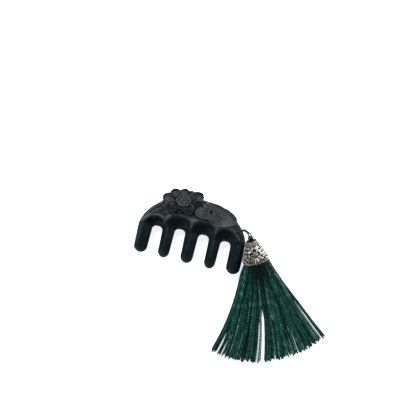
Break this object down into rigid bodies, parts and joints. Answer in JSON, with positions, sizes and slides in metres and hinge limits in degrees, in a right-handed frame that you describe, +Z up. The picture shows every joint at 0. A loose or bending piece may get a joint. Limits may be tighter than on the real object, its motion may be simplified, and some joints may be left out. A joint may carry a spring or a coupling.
{
  "type": "scalp massage comb",
  "caption": "Carved dark wood scalp massage comb with thick rounded teeth and a lotus in relief, and a green thread tassel under an antique silver bell cap on a looped cord.",
  "frame": {"origin": "middle of the crown's flat back, on the surface that the comb lies on", "axes": "+X along the comb towards the tassel, +Y from the teeth to the crown, +Z up through the carved front"},
  "size_m": [0.2082, 0.1582, 0.0253],
  "materials": {
    "comb": "near-black wood, carved, oiled and rubbed to a soft sheen",
    "hang_cord": "two-ply twisted cord, dark green",
    "bead": "polished black",
    "tassel_cap": "cast alloy plated in antique silver, dark in the recesses",
    "tassel": "fine twisted threads, dark green"
  },
  "bodies": {
    "root": {"comb": "comb", "hang_cord": "hang_cord", "bead": "bead", "tassel_cap": "tassel_cap", "tassel": "tassel"}
  },
  "joints": []
}
